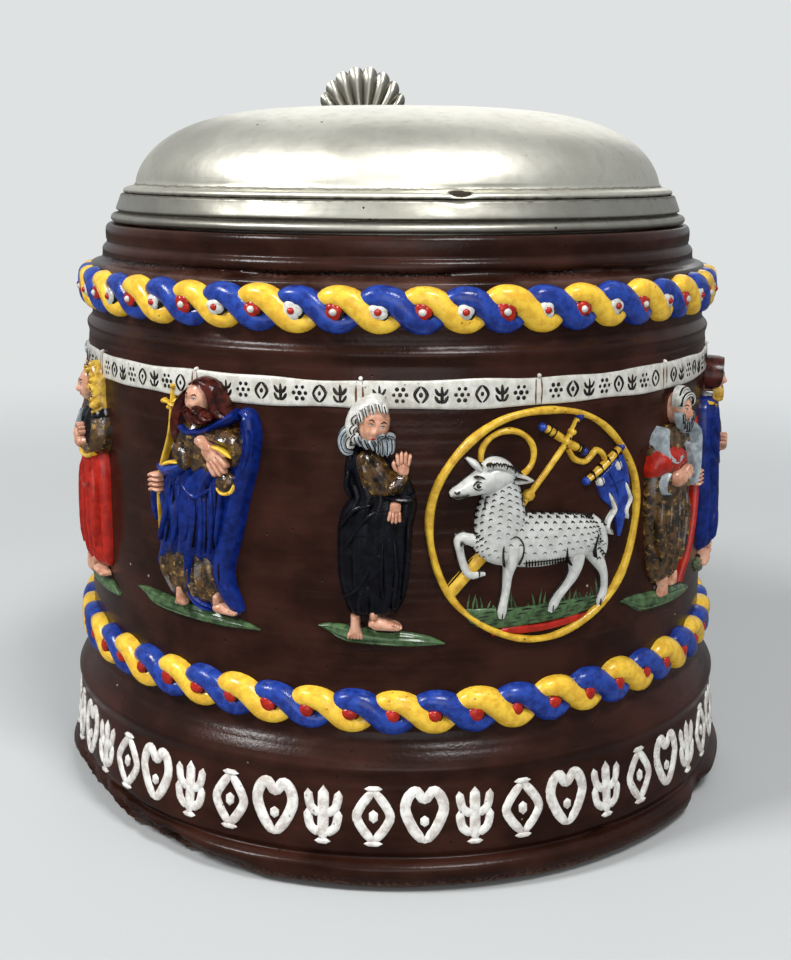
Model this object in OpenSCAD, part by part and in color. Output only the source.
// A squat stoneware tankard with applied reliefs and a hinged pewter lid.
// The axis is Z, the flat base lies on z = 0, the front faces -Y and the handle stands at +Y.

/* [Stoneware body] */
// Outer radius of the wall just above the lower cable
body_r = 71.4; // [59:0.1:86]
// Height of the stoneware rim that the lid rests on
body_h = 125.5; // [104:0.5:151]
// How much narrower the wall is at the top of the relief zone
wall_taper = 1.3; // [0:0.1:4]
// Thickness of the thrown wall
wall_t = 5; // [3:0.1:7]
// Thickness of the floor
floor_t = 7; // [4:0.5:12]
// How far the rim stands inside the wall line
rim_inset = 5.9; // [4:0.1:7]
// Thickness of the rim
rim_t = 5.5; // [4:0.1:7]
// Height of the turned neck between the upper cable and the rim
neck_h = 7.3; // [6:0.1:9]
// How far the foot stands out beyond the wall
foot_flare = 6.6; // [3:0.1:9]
// Height of the rounded edge of the foot
foot_edge_h = 8.2; // [6:0.1:10]
// Height of the plain band round the foot
foot_band_h = 14; // [10:0.5:18]
// Height of the ridge above the foot band
foot_ridge_h = 6; // [4:0.1:8]

/* [Cables] */
// Height of each cable moulding
cable_h = 8.6; // [6:0.1:11]
// How far a cable stands out from the wall
cable_d = 3.6; // [2:0.1:5]
// Strand turns of one colour round each cable
cable_turns = 28; // [18:1:34]
// How far a strand leans over along the cable, in strand pitches
cable_lean = 0.7; // [0.3:0.05:1]
// Height of the lower cable's middle
lower_cable_z = 37.1; // [35:0.1:42]
// Radius of the pellets on the strands
bead_r = 1.7; // [1:0.1:2.2]
// How far a pellet stands out of its strand
bead_d = 0.7; // [0.3:0.1:1.2]

/* [Reliefs] */
// Height of the painted label band below the upper cable
label_h = 4.8; // [3:0.1:7]
// Plain wall with two ridges between the label band and the upper cable
label_gap = 9.4; // [7:0.1:12]
// Plain wall between the lower cable and the ground that the figures stand on
ground_gap = 8.2; // [5:0.1:12]
// Thickness of the robes
robe_t = 2.8; // [1.5:0.1:4]
// Thickness of the heads
head_t = 3.3; // [2:0.1:4.5]
// Thickness of the ground mounds
mound_t = 1.3; // [0.6:0.1:2]
// Width of a ground mound
mound_w = 24; // [16:0.5:25]
// Width of the oval medallion over its ring
medallion_w = 48; // [40:0.5:50]
// Width of the medallion's ring
medallion_ring_w = 2; // [1.2:0.1:3]
// Thickness of the medallion's ring
medallion_ring_t = 1.4; // [0.8:0.1:2.5]
// Thickness of the lamb
lamb_t = 2.4; // [1.2:0.1:3.5]

/* [Handle] */
// Width of the strap handle
handle_w = 24; // [18:0.5:30]
// Thickness of the strap handle
handle_t = 8; // [6:0.5:10]
// How far the loop's guide points stand out from the wall
handle_reach = 46; // [40:0.5:56]
// Height of the loop's lower end
handle_low_z = 49; // [47:0.5:60]
// Distance of the loop's upper end below the rim
handle_drop = 24.5; // [22:0.5:30]

/* [Pewter lid] */
// Distance of the lid's edge inside the stoneware rim
lid_inset = 1.3; // [0.6:0.1:3]
// Thickness of the pewter
lid_t = 2; // [1.5:0.1:3]
// Gap between the closed lid and the stoneware rim
lid_gap = 0.3; // [0.2:0.1:0.6]
// Height of the bead at the lid's edge
lid_bead_h = 1.9; // [1.2:0.1:3]
// Height of the sloping skirt above the bead
lid_skirt_h = 4.2; // [3:0.1:7]
// How far the dome stands inside the skirt
lid_step = 3.2; // [2:0.1:5]
// Height of the dome above the skirt
dome_h = 18.6; // [14:0.1:26]
// How far the locating flange reaches into the mouth
flange_h = 4; // [2.5:0.1:7]
// Gap between the locating flange and the mouth
flange_gap = 0.8; // [0.6:0.1:1.5]

/* [Hinge] */
// Radius of the hinge pin
pin_r = 1.6; // [1.2:0.1:2]
// Radial running clearance of the lid's knuckles on the pin
pin_clearance = 0.05; // [0.02:0.01:0.1]
// Outer radius of the knuckles
knuckle_r = 4.2; // [3.6:0.1:5]
// Length of one knuckle
knuckle_w = 4.4; // [3.5:0.1:5]
// Gap between neighbouring knuckles
knuckle_gap = 0.3; // [0.2:0.1:0.5]
// Distance of the pin behind the lid's edge
hinge_back = 20; // [18:0.5:24]
// Width of the arm between the lid and its knuckles
arm_w = 15; // [13:0.5:18]
// Thickness of the arm
arm_t = 5; // [4:0.1:6]
// Thickness of the pewter strap round the handle
strap_t = 1.2; // [0.8:0.1:2]
// Width of the pewter strap along the handle
strap_w = 9; // [7:0.5:10]

/* [Thumbrest] */
// Radius of the scallop shell from its root
shell_r = 20; // [16:0.5:25]
// Half of the angle that the shell spreads over
shell_spread = 50; // [40:1:70]
// How much shorter the shell's side ribs are than its middle ones, as a share
shell_narrowing = 0.22; // [0:0.01:0.35]
// Number of ribs on the shell
shell_ribs = 8; // [5:1:13]
// Thickness of the shell
shell_t = 3.4; // [2.5:0.1:5]
// Height of the post below the shell
shell_post_h = 15; // [9:0.5:18]

/* [Hidden] */
$fn = 96;
eps = 0.01;
blue = [0.09, 0.17, 0.55];
yellow = [0.86, 0.66, 0.16];
stoneware = [0.20, 0.09, 0.07];
pewter = [0.53, 0.52, 0.49];

// Turned body, from the foot up.
foot_r = body_r + foot_flare;
foot_band_z = foot_edge_h + 1.6;
foot_ridge_z = foot_band_z + foot_band_h;
cove_z = foot_ridge_z + foot_ridge_h;
wall_z = lower_cable_z + cable_h / 2;
upper_cable_z = body_h - neck_h - cable_h / 2 - 0.9;
label_z = upper_cable_z - cable_h / 2 - label_gap - label_h;
wall_top_z = label_z + label_h;
rim_r = body_r - rim_inset;
mouth_r = rim_r - rim_t;
neck_z = body_h - neck_h;

// Reliefs stand between the ground line and the label band.
ground_z = wall_z + ground_gap;
figure_h = label_z - ground_z;
// The outlines are drawn for a figure 45 mm tall on a mound 24 mm wide, and a medallion 48 mm wide.
height_unit = figure_h / 45;
figure_width_unit = mound_w / 24;
lamb_width_unit = medallion_w / 48;

// Pewter lid.
lid_r = rim_r - lid_inset;
lid_z = body_h + lid_gap;
skirt_z = lid_z + lid_bead_h;
step_z = skirt_z + lid_skirt_h;
skirt_top_r = lid_r - 2.4;
dome_r = skirt_top_r - lid_step;
dome_z = step_z + 1;
flange_r = mouth_r - flange_gap;

// Hinge.
pin_y = lid_r + hinge_back;
pin_z = body_h + 0.5;
knuckle_pitch = knuckle_w + knuckle_gap;
hinge_w = 5 * knuckle_w + 4 * knuckle_gap;
knuckle_air = 0.5;
arm_z = lid_z + 1.2;
post_y = lid_r + 1.6;
post_w = 7;
shell_root_z = arm_z + arm_t + shell_post_h - 3;

// Angles are measured from the front, -Y, towards +X. The handle is at 180 degrees.
figure_angles = [-71.6, -40.1, -10.6, 42.4, 67.9, 90, 112, 134, 156, -155, -130, -105];
figure_poses = ["cloak", "left_staff", "palm", "right_staff", "cloak", "palm",
                "left_staff", "cloak", "palm", "cloak", "right_staff", "palm"];
figure_colours = [[0.62, 0.08, 0.05], blue, [0.06, 0.06, 0.07], [0.42, 0.23, 0.08], blue,
                  [0.62, 0.08, 0.05], [0.10, 0.30, 0.16], [0.06, 0.06, 0.07], blue,
                  [0.42, 0.23, 0.08], [0.62, 0.08, 0.05], [0.10, 0.30, 0.16]];
medallion_angle = 15.5;

function figure_node(i) = str("relief_figure_", i < 10 ? "0" : "", i);

// Radius of the plain wall at height z. The relief zone is one straight cone.
function wall_r(z) = body_r - wall_taper * (z - wall_z) / (wall_top_z - wall_z);

// Point at parameter t of a cubic curve with four guide points.
function bezier(p, t) = pow(1 - t, 3) * p[0] + 3 * t * pow(1 - t, 2) * p[1]
                        + 3 * t * t * (1 - t) * p[2] + pow(t, 3) * p[3];

// Unit normal of the same curve, to its left.
function bezier_normal(p, t) =
    let (d = pow(1 - t, 2) * (p[1] - p[0]) + 2 * t * (1 - t) * (p[2] - p[1]) + t * t * (p[3] - p[2]))
    [-d[1], d[0]] / norm(d);

// ---- Turned stoneware ----

function body_outline() = [
    [0, 0],
    [foot_r - 3.6, 0],
    [foot_r - 1.3, 1.4],
    [foot_r - 0.2, 4],
    [foot_r, foot_edge_h - 1.8],
    [foot_r - 1, foot_edge_h - 0.6],
    [foot_r - 2.9, foot_edge_h],
    [foot_r - 1.7, foot_band_z],
    [foot_r - 3.2, foot_ridge_z - 1],
    [foot_r - 2.5, foot_ridge_z + 1.2],
    [foot_r - 3.4, foot_ridge_z + 2.6],
    [body_r + 0.6, cove_z],
    [body_r, cove_z + 1],
    [body_r, wall_z],
    [wall_r(wall_top_z), wall_top_z],
    [wall_r(wall_top_z) - 0.3, wall_top_z + 3.6],
    [wall_r(wall_top_z) + 0.3, wall_top_z + 5],
    [wall_r(wall_top_z) - 1.2, wall_top_z + 6.6],
    [wall_r(wall_top_z) - 1.2, neck_z - 0.9],
    [rim_r + 0.9, neck_z - 0.3],
    [rim_r + 0.7, neck_z + 2.6],
    [rim_r - 0.4, neck_z + 3.2],
    [rim_r, neck_z + 4],
    [rim_r, body_h - 0.6],
    [rim_r - 0.6, body_h],
    [0, body_h]
];

function cavity_outline() = [
    [0, floor_t],
    [body_r - wall_t - 6, floor_t],
    [body_r - wall_t, floor_t + 6],
    [body_r - wall_t, wall_z],
    [wall_r(wall_top_z) - wall_t, wall_top_z],
    [wall_r(wall_top_z) - wall_t, wall_top_z + 6],
    [mouth_r, neck_z],
    [mouth_r, body_h + 1],
    [0, body_h + 1]
];

module body_envelope() { rotate_extrude() polygon(body_outline()); }

module vessel_body() {
    color(stoneware)
    difference() {
        body_envelope();
        rotate_extrude() polygon(cavity_outline());
    }
}

// ---- Handle ----

handle_guides = [
    [body_r - wall_t / 2, body_h - handle_drop],
    [body_r + 0.75 * handle_reach, body_h + 3.5],
    [body_r + 1.55 * handle_reach, handle_low_z + 21],
    [body_r - wall_t / 2, handle_low_z]
];

// Outline of the loop seen from the side, grown by a margin on both faces.
function handle_outline(margin) =
    let (steps = 28, half = handle_t / 2 + margin)
    concat(
        [for (i = [0 : steps]) bezier(handle_guides, i / steps) + half * bezier_normal(handle_guides, i / steps)],
        [for (i = [steps : -1 : 0]) bezier(handle_guides, i / steps) - half * bezier_normal(handle_guides, i / steps)]
    );

// Height of the loop's middle line along its rising part, as distance and height pairs.
handle_rise = [for (i = [0 : 8]) bezier(handle_guides, i / 32)];

module handle_loop(margin = 0) {
    width = handle_w + 2 * margin;
    rotate([90, 0, 90])
    translate([0, 0, -width / 2])
    linear_extrude(width)
    polygon(handle_outline(margin));
}

module handle() {
    color(stoneware)
    difference() {
        handle_loop();
        body_envelope();
    }
}

// ---- Cables ----

// A half-round moulding with its flat side on the wall.
module cable_ring(r, z) {
    rotate_extrude()
    polygon([for (a = [-90 : 15 : 90]) [r + cable_d * cos(a), z + cable_h / 2 * sin(a)]]);
}

// A strand turn is the part of the ring that lies in a leaning slice.
module strand_slice(r, z, turn) {
    pitch = 180 / cable_turns;
    width = 2 * (r + cable_d) * tan(pitch / 2);
    lean = cable_lean * width;
    reach = cable_h / 2 + 1;
    rotate([0, 0, turn * pitch])
    translate([0, -r + 2, z])
    rotate([90, 0, 0])
    linear_extrude(cable_d + 4)
    polygon([
        [-width / 2 + lean / 2, -reach], [width / 2 + lean / 2, -reach],
        [width / 2 - lean / 2, reach], [-width / 2 - lean / 2, reach]
    ]);
}

module strand_slices(r, z) {
    for (i = [0 : cable_turns - 1]) strand_slice(r, z, 2 * i);
}

// One colour of strand is the slices themselves, and the other fills the ring between them.
module sliced_strands(r, z) {
    intersection() {
        cable_ring(r, z);
        strand_slices(r, z);
    }
}

module filling_strands(r, z) {
    difference() {
        cable_ring(r, z);
        strand_slices(r, z);
    }
}

module cable_pellets(r, z) {
    pitch = 180 / cable_turns;
    for (i = [0 : 2 * cable_turns - 1])
        rotate([0, 0, i * pitch])
        translate([0, -r - cable_d + 0.6, z])
        rotate([90, 0, 0])
        cylinder(r = bead_r, h = 0.6 + bead_d, $fn = 24);
}

upper_cable_r = wall_r(wall_top_z) - 1.2;

module lower_cable_blue() { color(blue) sliced_strands(body_r, lower_cable_z); }
module lower_cable_yellow() { color(yellow) filling_strands(body_r, lower_cable_z); }
module lower_cable_pellets() { color([0.55, 0.08, 0.05]) cable_pellets(body_r, lower_cable_z); }
module upper_cable_blue() { color(blue) sliced_strands(upper_cable_r, upper_cable_z); }
module upper_cable_yellow() { color(yellow) filling_strands(upper_cable_r, upper_cable_z); }
module upper_cable_pellets() { color("white") cable_pellets(upper_cable_r, upper_cable_z); }

// ---- Reliefs ----

// Keeps the part of a flat shape that lies within a thickness of the wall, at a panel angle.
// The flat shape's x runs to the right along the wall and its y is the height above the ground.
module on_wall(angle, thickness) {
    low = wall_z + 1;
    high = wall_top_z;
    intersection() {
        rotate([0, 0, angle])
        translate([0, -body_r / 2, ground_z])
        rotate([90, 0, 0])
        linear_extrude(body_r)
        children();
        rotate_extrude()
        polygon([
            [wall_r(low), low], [wall_r(low) + thickness, low],
            [wall_r(high) + thickness, high], [wall_r(high), high]
        ]);
    }
}

// Robed body with bare feet.
robe_points = [
    [-3.6, 1.6], [-1.2, 1.0], [0.4, 2.6], [2.6, 1.2], [4.2, 1.8], [4.6, 6], [5.8, 14], [6.4, 23],
    [6.0, 31], [4.6, 35.4], [2.2, 37.4], [-2.2, 37.4], [-4.8, 35], [-6.0, 30], [-6.2, 21], [-5.4, 12], [-4.4, 5]
];
head_centre = [0.2, 40.2];
head_size = [3.2, 4.4];
palm_points = [[3.2, 26], [6.6, 28.4], [8.4, 33.6], [7.6, 36.2], [6.2, 36], [5.6, 32.6], [3.4, 30]];
sleeve_points = [[-5.2, 30], [-7.8, 27], [-8.6, 20], [-6.6, 18.6], [-4.6, 22]];
staff_points = [[-9.4, 2], [-8.4, 2], [-7.6, 38], [-8.6, 38]];

module scaled_polygon(points, width_unit = figure_width_unit) {
    polygon([for (p = points) [width_unit * p[0], height_unit * p[1]]]);
}

module oval(centre, half, steps = 20) {
    polygon([for (i = [0 : steps - 1])
        [centre[0] + half[0] * cos(360 * i / steps), centre[1] + half[1] * sin(360 * i / steps)]]);
}

module mound_shape() {
    polygon([
        for (i = [0 : 10]) [mound_w * (i / 10 - 0.5), 2.8 * sin(18 * i)],
        for (i = [9 : -1 : 1]) [mound_w * (i / 10 - 0.5), -1.6 * sin(18 * i)]
    ]);
}

module relief_figure(i) {
    angle = figure_angles[i - 1];
    pose = figure_poses[i - 1];
    side = pose == "right_staff" ? -1 : 1;
    has_staff = pose == "left_staff" || pose == "right_staff";
    color(figure_colours[i - 1])
    union() {
        on_wall(angle, mound_t) mound_shape();
        on_wall(angle, robe_t) scaled_polygon(robe_points);
        on_wall(angle, head_t)
            oval([figure_width_unit * head_centre[0], height_unit * head_centre[1]],
                 [figure_width_unit * head_size[0], height_unit * head_size[1]]);
        if (pose == "palm") on_wall(angle, robe_t - 0.4) scaled_polygon(palm_points);
        else on_wall(angle, robe_t - 0.4) scaled_polygon(sleeve_points, side * figure_width_unit);
        if (has_staff) on_wall(angle, mound_t + 0.3) scaled_polygon(staff_points, side * figure_width_unit);
    }
}

medallion_mid = [0, figure_h / 2 - 0.8];
medallion_half = [medallion_w / 2, figure_h / 2 + 0.7];

module medallion_ring() {
    color(yellow)
    on_wall(medallion_angle, medallion_ring_t)
    difference() {
        oval(medallion_mid, medallion_half, 48);
        oval(medallion_mid, medallion_half - medallion_ring_w * [1, 1], 48);
    }
}

// A standing lamb that faces left, with its near foreleg raised.
lamb_points = [
    [-15.6, 30.6], [-13.2, 33.2], [-10.6, 34.8], [-7.6, 33.8], [-6.2, 30.6], [-3.4, 28.2], [3, 25.8], [9, 25.6],
    [13.2, 25.2], [15.4, 20], [14.2, 15.4], [14.4, 10.8], [13.4, 8.4], [11, 7.6], [11.2, 11.4], [9, 14.8],
    [5.6, 12.4], [4.2, 7.4], [1.4, 7.2], [3, 14.2], [-1.6, 14.8], [-4.6, 14], [-5, 7.8], [-7.8, 7.4], [-7.8, 14],
    [-9.4, 17.6], [-13.4, 15.6], [-14, 12.6], [-15.8, 12.8], [-15.4, 18], [-10.8, 21.4], [-10.6, 27], [-14, 27.4]
];

module medallion_lamb() {
    color([0.82, 0.81, 0.78])
    on_wall(medallion_angle, lamb_t)
    scaled_polygon(lamb_points, lamb_width_unit);
}

// ---- Pewter lid ----

// Outer line of the dome: a flattened quarter arc from its edge up to the middle.
function dome_line(r, h) = [
    for (a = [0 : 7.5 : 90]) [r * pow(max(cos(a), 0), 0.52), dome_z + h * pow(max(sin(a), 0), 1.05)]
];

module lid_dome() {
    inner_r = dome_r - lid_t;
    inner_h = dome_h - 1 - lid_t;
    color(pewter)
    rotate_extrude()
    polygon(concat(
        [[dome_r, step_z]],
        dome_line(dome_r, dome_h - 1),
        [for (i = [12 : -1 : 0]) dome_line(inner_r, inner_h)[i]],
        [[inner_r, step_z]]
    ));
}

function skirt_outline() = [
    [lid_r - 0.6, lid_z], [lid_r, lid_z + 0.5], [lid_r, skirt_z - 0.5], [lid_r - 0.7, skirt_z],
    [skirt_top_r, step_z - 0.4], [skirt_top_r - 0.6, step_z]
];

module lid_skirt() {
    color(pewter)
    rotate_extrude()
    polygon(concat(skirt_outline(), [[dome_r - lid_t, step_z], [dome_r - lid_t, lid_z]]));
}

module lid_locating_flange() {
    color(pewter)
    rotate_extrude()
    polygon([
        [flange_r - lid_t + 0.4, lid_z], [flange_r - lid_t + 0.4, lid_z - flange_h],
        [flange_r, lid_z - flange_h], [flange_r, lid_z]
    ]);
}

module lid_envelope() {
    rotate_extrude()
    polygon(concat([[0, lid_z]], skirt_outline(), [[dome_r, step_z]], dome_line(dome_r, dome_h - 1)));
}

// ---- Hinge ----

// Left end of knuckle k, counted from -X.
function knuckle_x(k) = -hinge_w / 2 + k * knuckle_pitch;

module along_x(x, length, radius) {
    translate([x, pin_y, pin_z])
    rotate([0, 90, 0])
    cylinder(r = radius, h = length, $fn = 64);
}

module hinge_pin() {
    color([0.35, 0.34, 0.32])
    along_x(-hinge_w / 2 - 0.6, hinge_w + 1.2, pin_r);
}

// The lid carries the second and the fourth knuckle.
module lid_hinge_arm() {
    plate_end = pin_y - knuckle_r - knuckle_air;
    color(pewter)
    difference() {
        union() {
            translate([-arm_w / 2, dome_r - 1, arm_z])
                cube([arm_w, plate_end - dome_r + 1, arm_t]);
            for (k = [1, 3]) {
                along_x(knuckle_x(k), knuckle_w, knuckle_r);
                translate([knuckle_x(k), plate_end - eps, arm_z])
                    cube([knuckle_w, knuckle_r + knuckle_air, pin_z + knuckle_r - arm_z]);
            }
        }
        for (k = [1, 3]) along_x(knuckle_x(k) - 1, knuckle_w + 2, pin_r + pin_clearance);
        lid_envelope();
    }
}

module thumbrest() {
    rib_step = 2 * shell_spread / shell_ribs;
    rib_dip = 0.8;
    color(pewter)
    union() {
        translate([-post_w / 2, post_y, arm_z + arm_t])
            cube([post_w, shell_t, shell_post_h]);
        translate([0, post_y + shell_t, shell_root_z])
            rotate([90, 0, 0])
            linear_extrude(shell_t)
            polygon(concat([[-post_w / 2, -1]], [
                for (i = [0 : 4 * shell_ribs])
                    let (a = shell_spread - i * rib_step / 4,
                         r = shell_r * (1 - shell_narrowing * pow(a / shell_spread, 2)) - rib_dip * pow(cos(45 * i), 2))
                    [-r * sin(a), r * cos(a)]
            ], [[post_w / 2, -1]]));
    }
}

// The bracket carries the other three knuckles and stands on the strap.
module hinge_bracket() {
    leg_t = 6;
    leg_top = pin_z - knuckle_r - knuckle_air;
    leg_z = lookup(pin_y, handle_rise);
    color(pewter)
    difference() {
        union() {
            translate([-hinge_w / 2, pin_y - leg_t / 2, leg_z]) cube([hinge_w, leg_t, leg_top - leg_z]);
            for (k = [0, 2, 4]) {
                along_x(knuckle_x(k), knuckle_w, knuckle_r);
                translate([knuckle_x(k), pin_y - leg_t / 2, leg_top - eps])
                    cube([knuckle_w, leg_t, knuckle_r]);
            }
        }
        along_x(-hinge_w, 2 * hinge_w, pin_r);
        handle_loop(strap_t);
    }
}

module handle_strap() {
    color(pewter)
    difference() {
        intersection() {
            handle_loop(strap_t);
            translate([-handle_w, pin_y - strap_w / 2, body_h - handle_drop - handle_t])
                cube([2 * handle_w, strap_w, 2 * handle_drop]);
        }
        handle_loop();
    }
}

vessel_body();
handle();
lower_cable_blue();
lower_cable_yellow();
lower_cable_pellets();
upper_cable_blue();
upper_cable_yellow();
upper_cable_pellets();
for (i = [1 : len(figure_angles)])
    relief_figure(i);
medallion_ring();
medallion_lamb();
lid_dome();
lid_skirt();
lid_locating_flange();
lid_hinge_arm();
thumbrest();
hinge_pin();
hinge_bracket();
handle_strap();
